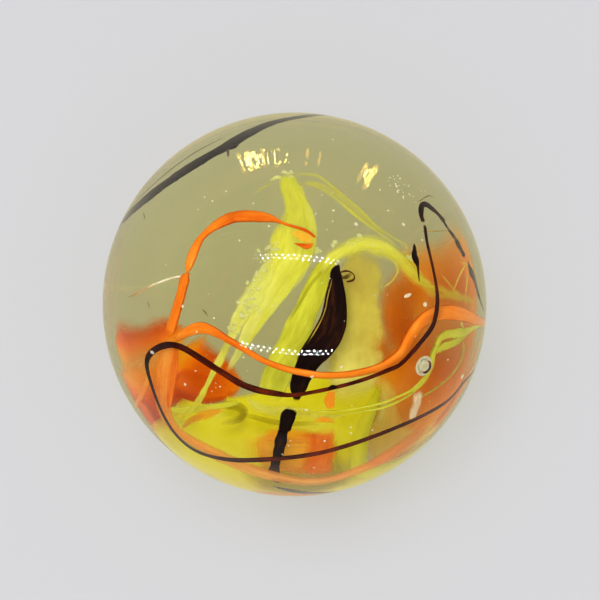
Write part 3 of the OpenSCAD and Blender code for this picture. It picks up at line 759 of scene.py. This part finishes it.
# Lesser strands that have no node of their own
wisps = {}
wisps["ribbon_outline"] = {"material": hairGlass, "slot": "dark_glass", "runs": [
    strand([
        (19.4, 18, 50), (18.4, 12.6, 90), (16.8, 6.6, 100), (15.6, 0, 100), (14, -5.6, 100),
        (11.4, -11, 100), (7.8, -17, 100), (4.2, -22.4, 90), (1.4, -28, 60),
    ], 0.1, 0.08, "bubbles", tone=-0.2, waver=0.12, cover=1.2),
    # A fine gold line along the outline, at the pale end of the ramp: painted highlight.
    strand([
        (19.6, 15.6, 60), (18.6, 10, 100), (17, 3.6, 100), (15.8, -2.6, 100), (13.4, -8.6, 100),
        (10, -14.6, 100), (6.6, -20, 60),
    ], 0.05, 0.05, "bubbles", tone=0.9, waver=0.12, lift=0.08, cover=0.85),
]}
wisps["rim_hair_lines"] = {"material": hairGlass, "slot": "dark_glass", "runs": [
    strand([
        (-90, 43, 40), (-81, 54.5, 90), (-66, 68, 100), (-53, 77.5, 100), (-45, 82, 70),
        (-36, 86.5, 40),
    ], 0.1, 0.08, "threads", tone=0.2, waver=0.1),
    strand([(89, -37, 60), (94, -29, 90), (97, -21, 90), (99.5, -12, 60)],
           0.1, 0.08, "threads", tone=0.1),
    strand([(-47, -2.2, 40), (-45.5, -4, 100), (-44, -6, 40)], 0.06, 0.04, "threads", tone=0.1),
    strand([(-75.5, 2, 40), (-74.6, -0.6, 100), (-74.4, -2.6, 40)], 0.05, 0.04, "threads", tone=0.2),
    strand([(-78, 47.5, 40), (-77.4, 45.5, 100), (-77, 43.5, 40)], 0.06, 0.04, "threads", tone=0.3),
    strand([(63.5, 52.5, 40), (69, 56, 90), (72, 55, 40)], 0.06, 0.05, "threads", tone=0.3),
    strand([(65, 37.5, 40), (71, 37.6, 100), (79, 38, 40)], 0.05, 0.04, "threads", tone=0.8),
]}
wisps["mottled_leg"] = {"material": smokyGlass, "slot": "dark_glass", "runs": [
    strand([(77.4, 42, 80), (80, 38, 110), (83, 33.6, 110), (85.4, 29.4, 120), (87.4, 25.4, 110)],
           0.28, 0.14, "threads", waver=0.35, tone=(0.2, 0.6, 0.5),
           cover=(1.3, 0.6, 1.3, 0.5, 1.3, 0.7, 1.3), fadeMm=(0.05, 0.05)),
    strand([
        (89.6, 22, 60), (91, 17.6, 110), (93, 12.4, 130), (94.6, 7, 100), (96.6, 1, 60), (98.6, -4, 30),
    ], 0.3, 0.14, "threads", waver=0.4, tone=(0.7, 0.4, 0.9),
        cover=(0.7, 1.3, 0.5, 1.3, 0.6, 1.2, 0.5), fadeMm=(0.1, 0.3)),
]}
wisps["side_wisps"] = {"material": archGlass, "slot": "yellow_glass", "runs": [
    strand([(89, 22, 50), (86, 16.5, 100), (83.4, 11, 90), (81.4, 5, 50)],
           0.11, 0.08, "orange", tone=0.4, cover=0.65),
    strand([(89.4, 22, 50), (89.4, 15, 100), (88.6, 8, 90), (88, 2.6, 50)],
           0.1, 0.08, "orange", tone=0.4, cover=0.55),
    strand([(75, 16, 60), (78, 12.6, 100), (81, 9, 90), (85, 5, 40)],
           0.12, 0.08, "orange", tone=0.4, cover=0.55),
    strand([(85.5, 22, 80), (90, 20, 100), (93.5, 17, 40)], 0.14, 0.08, "orange", tone=0.3, cover=0.5),
    strand([(74, 10, 70), (80, 5.5, 130), (87, 3, 130), (94, 1, 60)],
           0.5, 0.12, "bubbles", tone=0.2, cover=0.5, waver=0.2),
]}
wisps["lower_wisps"] = {"material": archGlass, "slot": "yellow_glass", "runs": [
    strand([
        (-24, -45, 30), (-22, -50, 90), (-14, -54, 110), (0, -55, 110), (14, -57, 90), (26, -58, 40),
    ], 0.6, 0.12, "yellowInner", tone=0.7, cover=0.5, waver=0.15, lift=-0.1),
    strand([(-8, -52.6, 60), (0, -53.4, 100), (8, -53.6, 60)],
           0.12, 0.1, "bubbles", tone=0.9, cover=0.6),
    strand([(-67, -57, 40), (-62, -61, 100), (-55, -61, 90), (-48, -57, 40)],
           0.6, 0.12, "yellowInner", tone=0.5, cover=0.7, waver=0.2, lift=-0.1),
]}
wisps["pool_swirls"] = {"material": oliveGlass, "slot": "yellow_glass", "runs": [
    strand([
        (-43, -56, 40), (-38, -54, 90), (-31, -54.6, 110), (-27, -58, 110), (-30, -62, 90),
        (-38, -63.6, 50),
    ], 0.17, 0.1, "yellowInner", far, tone=0.1, cover=0.9, waver=0.2),
    strand([(-30, -58.6, 40), (-22, -60.6, 90), (-12, -63, 100), (-2, -64.4, 90), (12, -64, 60)],
           0.09, 0.08, "yellowInner", far, tone=0.3, cover=0.8, waver=0.2, lift=-0.08),
    strand([(-24, -55, 50), (-14, -57, 100), (-2, -58, 110), (8, -58, 70)],
           0.3, 0.08, "yellowInner", far, tone=1.1, cover=0.6, lift=-0.16),
]}
for index, (name, piece) in enumerate([*pieces.items(), *wisps.items()]):
    mesh = {"points": [], "faces": [], "run": [], "edge": [], "cover": [], "tone": []}
    for k, run in enumerate(piece["runs"]):
        addStrand(mesh, run, index + 1 + k * 0.37)
    node = name if name in pieces else None
    finishPiece(name + "_drawn", buildMesh(name, mesh), piece["material"], node)
print("strands swept")

# The clear glass, with the large bubble as a hollow in it. Its far half has faint ripples.
ball = {
    "fineness": 7,
    "inBox": 0.9999,
    "rippleMm": 0.0008,
    "ripplesPerMm": 1.3,
    "fullRippleMm": 2,  # this far below the middle and on, the ripples have their full height
}
bubble = {"mark": (66.6, -31.6), "diameterMm": 0.7, "fineness": 5, "skin": 1.12, "skinFineness": 4}


def makeGlassBall():
    shape = bmesh.new()
    radius = min(*ballHigh, *(-c for c in ballLow)) * ball["inBox"]
    bmesh.ops.create_icosphere(shape, subdivisions=ball["fineness"], radius=radius)
    made = bmesh.ops.create_icosphere(
        shape, subdivisions=bubble["fineness"], radius=bubble["diameterMm"] / 2 * mm)
    centre = place(*bubble["mark"], layerRadius("bubbles"), near) * mm
    bmesh.ops.translate(shape, verts=made["verts"], vec=centre)
    inner = {face for vertex in made["verts"] for face in vertex.link_faces}
    bubbleVertices = set(made["verts"])
    for vertex in shape.verts:
        if vertex not in bubbleVertices:
            share = min(1.0, max(0.0, -vertex.co.z / (ball["fullRippleMm"] * mm)))
            ripple = 0.5 + 0.5 * noise.noise(vertex.co / mm * ball["ripplesPerMm"])
            vertex.co *= 1 - share * ripple * ball["rippleMm"] * mm / radius
    bmesh.ops.reverse_faces(shape, faces=list(inner))
    mesh = meshFrom("clearGlass", shape)
    finishPiece("clear_glass_polished", mesh, clearGlass, "clear_glass")


# Small round or drawn-out bodies: marks with their size in mm, how long they are against their
# width, the way they point in degrees and how deep they lie under their layer in mm
beadHeight = 0.8  # against the width


def makeBeads(name, beads, material, layer, detail=2):
    shape = bmesh.new()
    for across, up, size, length, turn, sink in beads:
        centre = place(across, up, layerRadius(layer) - sink, near)
        made = bmesh.ops.create_icosphere(shape, subdivisions=detail, radius=size / 2 * mm)
        facing = centre.normalized().to_track_quat("Z", "Y").to_matrix().to_4x4()
        swirl = Matrix.Rotation(math.radians(turn), 4, "Z")
        stretch = Matrix.Diagonal((length, 1, beadHeight, 1))
        laid = Matrix.Translation(centre * mm) @ facing @ swirl @ stretch
        bmesh.ops.transform(shape, verts=made["verts"], matrix=laid)
    finishPiece(name, meshFrom(name, shape), material)


def chanceBead(chance, sizeMm, longest, sinkMm):
    return (chance.uniform(*sizeMm), chance.uniform(1, longest), chance.uniform(0, 180),
            chance.uniform(*sinkMm))


seeds = {
    # Those that stand out. With three values a seed is round and lies on its layer.
    "placed": [
        (67, 0, 0.2, 1.0, 0, 0.2), (58, 4.6, 0.15, 2.6, 105, 0.25), (86.8, -37.4, 0.2, 1.1, 0, 0),
        (-13, 40, 0.11, 1, 0, 0.1), (-57, -1, 0.13), (-35, 58, 0.08), (31.6, 41, 0.15, 1.2, 0, 0.2),
        (-56, -41, 0.12), (-50.5, -34, 0.08), (-46, 55, 0.08), (-42, 53, 0.08), (-21, 51.6, 0.08),
        (-28, 32.6, 0.09), (56, 41, 0.13, 1.3, 0, 0), (-73, -24.6, 0.15, 1.6, 60, -0.1),
        (-50, -14, 0.09), (6, -54, 0.08, 1.8, 10, 0.2), (29, -63, 0.08, 1, 0, 0.1),
        (40, -64.5, 0.08, 1, 0, 0.1), (15.5, -70, 0.1), (29, -66, 0.09), (10, -84, 0.08), (86, -10, 0.08, 1, 0, 0.1),
        (79, -28.4, 0.08, 1, 0, 0.1), (9, -36.8, 0.09, 1.8, 10, 0.1), (-38, -42, 0.07),
        (-3, -72.4, 0.08), (-2, -70, 0.07), (24, -32, 0.1, 1.4, 20, 0.2), (48, 48, 0.09),
        (52, 62, 0.08), (20, 48, 0.08, 1.4, 40, 0.1), (65.6, 33, 0.08, 1.3, 0, 0), (19.5, 42.4, 0.07),
        (-26, -27, 0.08, 1.2, 0, 0), (-41, -7, 0.09), (39.6, 30.4, 0.07),
    ],
    "loose": {
        "count": 80, "reach": 92, "sizeMm": (0.025, 0.05), "longest": 1.8, "sinkMm": (-0.05, 1.2),
    },
    # A spray of them at the upper right, longer than it is wide
    "spray": {
        "count": 34, "mark": (54, 61), "slope": (5, -2.4), "stray": (2.4, 4.0), "sizeMm": (0.03, 0.075),
        "longest": 2.0, "sinkMm": (0, 0.6),
    },
}


def scatterSeeds():
    chance = random.Random(11)
    loose, spray = seeds["loose"], seeds["spray"]
    beads = [seed if len(seed) > 3 else (*seed, 1, 0, 0) for seed in seeds["placed"]]
    for k in range(loose["count"]):
        turn, out = chance.uniform(0, 2 * math.pi), loose["reach"] * math.sqrt(chance.random())
        beads.append((out * math.cos(turn), out * math.sin(turn),
                      *chanceBead(chance, loose["sizeMm"], loose["longest"], loose["sinkMm"])))
    for k in range(spray["count"]):
        spread = chance.gauss(0, 1)
        mark = [middle + slope * spread + chance.gauss(0, stray)
                for middle, slope, stray in zip(spray["mark"], spray["slope"], spray["stray"])]
        beads.append((*mark, *chanceBead(chance, spray["sizeMm"], spray["longest"], spray["sinkMm"])))
    makeBeads("seed_bubbles", beads, seedGlass, "threads")


# Froth along the streamer's left edge, and clusters of three where the yellow strands meet
froth = {
    "edge": [(-11, 30, 0), (-16, 19, 0), (-22, 7, 0), (-26, -4, 0), (-31, -14, 0)],
    "count": 90,
    "strayAcross": 2.2,
    "strayUp": 1.6,
    "sizeMm": (0.04, 0.13),
    "longest": 1.8,
    "sinkMm": (-0.3, -0.2),
    "clusters": ((40, 31), (28, 30.6), (20.5, 32), (-3, 66.4), (-1, 67), (60, 25), (33, 34), (12, 28)),
    "clusterMm": (0.08, 0.2),
    "clusterLength": 1.2,
    "clusterSinkMm": -0.1,
}


def scatterFroth():
    chance = random.Random(5)
    beads = []
    for k in range(froth["count"]):
        across, up, _ = smoothMark(froth["edge"], chance.random() * (len(froth["edge"]) - 1))
        beads.append((across + chance.gauss(0, froth["strayAcross"]),
                      up + chance.gauss(0, froth["strayUp"]),
                      *chanceBead(chance, froth["sizeMm"], froth["longest"], froth["sinkMm"])))
    for across, up in froth["clusters"]:
        for k in range(3):
            beads.append((across + chance.gauss(0, 1), up + chance.gauss(0, 1),
                          chance.uniform(*froth["clusterMm"]), froth["clusterLength"],
                          chance.uniform(0, 180), froth["clusterSinkMm"]))
    makeBeads("froth_bubbles", beads, frostGlass, "yellow")


makeGlassBall()
# A pale shell round the large bubble: its bright ring is painted reflection.
makeBeads("bubble_skin", [(*bubble["mark"], bubble["diameterMm"] * bubble["skin"], 1, 0, 0)], paintedBubbleRimGlass,
          "bubbles", bubble["skinFineness"])
scatterSeeds()
scatterFroth()
print("glass and bubbles made")

# Floor. The glass sees the pale paper too, but darker, and darker still away from the ball: painted shade in what
# the glass mirrors.
paper = {
    "halfM": 1.5,
    "grainPerM": 9.0,
    "codes": ("#bcbcc0", "#c1c1c4"),
    "seenCodes": ("#beb8a6", "#76706a"),
    "seenM": (0.018, 0.045),  # where the darkening starts and ends
}


def makeFloor():
    mesh = bpy.data.meshes.new("floor")
    half = paper["halfM"]
    corners = [(-half, -half), (half, -half), (half, half), (-half, half)]
    mesh.from_pydata([(x, y, floorHeight) for x, y in corners], [], [(0, 1, 2, 3)])
    floor = newObject("floor", mesh)
    material, tree = newMaterial("palePaperMatt")
    where = addNode(tree, "NewGeometry").outputs
    grain = noiseTexture(tree, where["Position"], paper["grainPerM"])
    colour = colourRamp(tree, grain, noiseSpan, paper["codes"])
    path = addNode(tree, "LightPath").outputs
    # Painted reflection: for rays that the glass mirrors, the paper takes the darker seenCodes, darkening further
    # away from the ball.
    glassOnly = calculate(
        tree, "SUBTRACT", path["Is Glossy Ray"], path["Is Transmission Ray"], use_clamp=True)
    distance = addNode(tree, "VectorMath", {0: where["Position"]}, operation="LENGTH")
    away = remap(tree, distance.outputs["Value"], paper["seenM"], (0.0, 1.0))
    dimmed = colourRamp(tree, away, (0.0, 1.0), paper["seenCodes"])
    matt = addNode(tree, "BsdfDiffuse", {"Color": mixColours(tree, glassOnly, colour, dimmed)})
    finishSurface(tree, where["Backfacing"], matt, addNode(tree, "BsdfTransparent"))
    mesh.materials.append(material)


# Lamps that show only in the glass. Its skin mirrors two strips of small ones, as two rows of
# sparks. The glints and the glow are seen by light that has run through the ball, turned back at
# its far side and come out again: they make the golden sparks near its top. That light folds
# back at foldMm from the axis, so the glints lie inside it by the square of their share.
lamps = {
    "heightMm": 178,
    "strips": ((1, -88, 92), (-1, -118, 78)),  # side, and the first and last place in mm
    "perStrip": 32,
    "stripMm": 95,
    "stripSlope": 0.07,
    "zigzagMm": 4.2,
    "sizeMm": 1.5,
    "ribbonSizeMm": 2.3,  # larger in the lower row, over the black ribbon
    "ribbonFrom": 20,
    "stripStrength": 110.0,
    "glints": ((-22, -9, 64), (-9, -5, 12), (-5, -1, 8), (25, 33.5, 30)),  # degrees, and how many
    "foldMm": 85.6,
    "foldBend": 480,
    "foldShares": (0.005, 0.055),
    "glintMm": (0.08, 0.17),
    "glintStrength": 130.0,
    "glintCode": "#ffeeb8",
    "glows": (  # degrees, mm from the axis and size in mm
        (-20.5, 87.0, 1.7), (-17, 87.2, 1.9), (-12, 87.4, 1.4), (4.7, 87.3, 1.3), (9.7, 87.4, 1.0),
        (27, 87.0, 1.6), (30.5, 86.6, 2.3),
    ),
    "glowHeightMm": 183,
    "glowStrength": 8.0,
    "glowCode": "#ffc868",
    "glowFade": 2.2,  # how fast a glow fades to its rim
}


def makeLamps(name, places, strength, code="#ffffff", fade=0.0):
    shape = bmesh.new()
    for *centre, radiusMm in places:
        made = bmesh.ops.create_icosphere(shape, subdivisions=2, radius=radiusMm * mm)
        bmesh.ops.translate(shape, verts=made["verts"], vec=Vector(centre) * mm)
    mesh = meshFrom(name, shape)
    made = newObject(name, mesh)
    material, tree = newMaterial(name + "GlassLit")
    light = addNode(tree, "Emission", {"Color": hexColour(code), "Strength": strength})
    facing = addNode(tree, "LayerWeight", {"Blend": 0.5})
    rim = calculate(tree, "MULTIPLY", facing.outputs["Facing"], fade, use_clamp=True)
    finishSurface(tree, rim, light, addNode(tree, "BsdfTransparent"))
    material.cycles.emission_sampling = "NONE"
    mesh.materials.append(material)
    made.visible_camera = made.visible_diffuse = made.visible_shadow = False
    return made


def lampPlace(degrees, out, height, radiusMm):
    turn = math.radians(degrees)
    return -out * math.sin(turn), -out * math.cos(turn), height, radiusMm


def placeLamps():
    rows = []
    for side, start, end in lamps["strips"]:
        for k in range(lamps["perStrip"]):
            x = start + (end - start) * k / (lamps["perStrip"] - 1)
            y = side * lamps["stripMm"] - lamps["stripSlope"] * x
            y += lamps["zigzagMm"] if k % 2 else -lamps["zigzagMm"]
            overRibbon = side < 0 and k > lamps["ribbonFrom"]
            size = lamps["ribbonSizeMm"] if overRibbon else lamps["sizeMm"]
            rows.append((x, y, lamps["heightMm"], size))
    strips = makeLamps("lampStrips", rows, lamps["stripStrength"])
    strips.visible_transmission = False
    chance = random.Random(3)
    sparks = []
    for first, last, count in lamps["glints"]:
        for k in range(count):
            degrees = chance.triangular(first, last)
            out = lamps["foldMm"] - lamps["foldBend"] * chance.uniform(*lamps["foldShares"]) ** 2
            sparks.append(lampPlace(degrees, out, lamps["heightMm"], chance.uniform(*lamps["glintMm"])))
    glints = makeLamps("lampGlints", sparks, lamps["glintStrength"], lamps["glintCode"])
    glows = [lampPlace(degrees, out, lamps["glowHeightMm"], size)
             for degrees, out, size in lamps["glows"]]
    glow = makeLamps("lampGlow", glows, lamps["glowStrength"], lamps["glowCode"], lamps["glowFade"])
    glints.visible_glossy = glow.visible_glossy = False


# The world lights evenly. The glass sees the pale backdrop in it, but a dark ceiling overhead.
studio = {
    "worldStrength": 0.85,
    "backdrop": 0.74,
    "overhead": 0.05,
    "mirrorDims": 3,
    "mirroredCeiling": (0.0, 0.15),  # how high the ceiling starts and is full, from 0 to 1
    "ceiling": (0.6, 0.9),
    "panelWatts": 1.4,
    "panelSizeMm": 220,
    "panelMm": (-50, 80, 500),
}


def makeLight():
    world = bpy.data.worlds.new("lightTent")
    world.use_nodes = True
    tree = world.node_tree
    tree.nodes.clear()
    path = addNode(tree, "LightPath").outputs
    towards = addNode(tree, "TexCoord").outputs["Generated"]
    height = addNode(tree, "SeparateXYZ", {0: towards}).outputs["Z"]
    backdrop, overhead = studio["backdrop"], studio["overhead"]
    dimmed = backdrop / studio["mirrorDims"]
    mirrored = remap(tree, height, studio["mirroredCeiling"], (dimmed, overhead))
    through = remap(tree, height, studio["ceiling"], (backdrop, overhead))
    level = mixValues(tree, path["Is Glossy Ray"], studio["worldStrength"], mirrored)
    level = mixValues(tree, path["Is Transmission Ray"], level, through)
    level = mixValues(tree, path["Is Camera Ray"], level, backdrop)
    sky = addNode(tree, "Background", {"Color": white, "Strength": level})
    addNode(tree, "OutputWorld", {"Surface": sky.outputs[0]})
    scene.world = world
    lamp = bpy.data.lights.new("overheadPanel", "AREA")
    lamp.shape = "DISK"
    lamp.size = studio["panelSizeMm"] * mm
    lamp.energy = studio["panelWatts"]
    panel = newObject("overheadPanel", lamp)
    panel.location = [c * mm for c in studio["panelMm"]]
    panel.rotation_euler = panel.location.to_track_quat("Z", "Y").to_euler()
    panel.visible_glossy = panel.visible_transmission = False


view = {"lensMm": 500, "sensorMm": 36, "nearM": 0.01, "farM": 10, "placeMm": (0.231, 0.183, 347)}


def makeCamera():
    data = bpy.data.cameras.new("camera")
    data.lens = view["lensMm"]
    data.sensor_width = view["sensorMm"]
    data.clip_start = view["nearM"]
    data.clip_end = view["farM"]
    camera = newObject("camera", data)
    camera.location = [c * mm for c in view["placeMm"]]
    scene.camera = camera


makeFloor()
placeLamps()
makeLight()
makeCamera()
scene.view_settings.view_transform = "Standard"
scene.cycles.transparent_max_bounces = 48
scene.cycles.sample_clamp_indirect = 0
print("stage set")
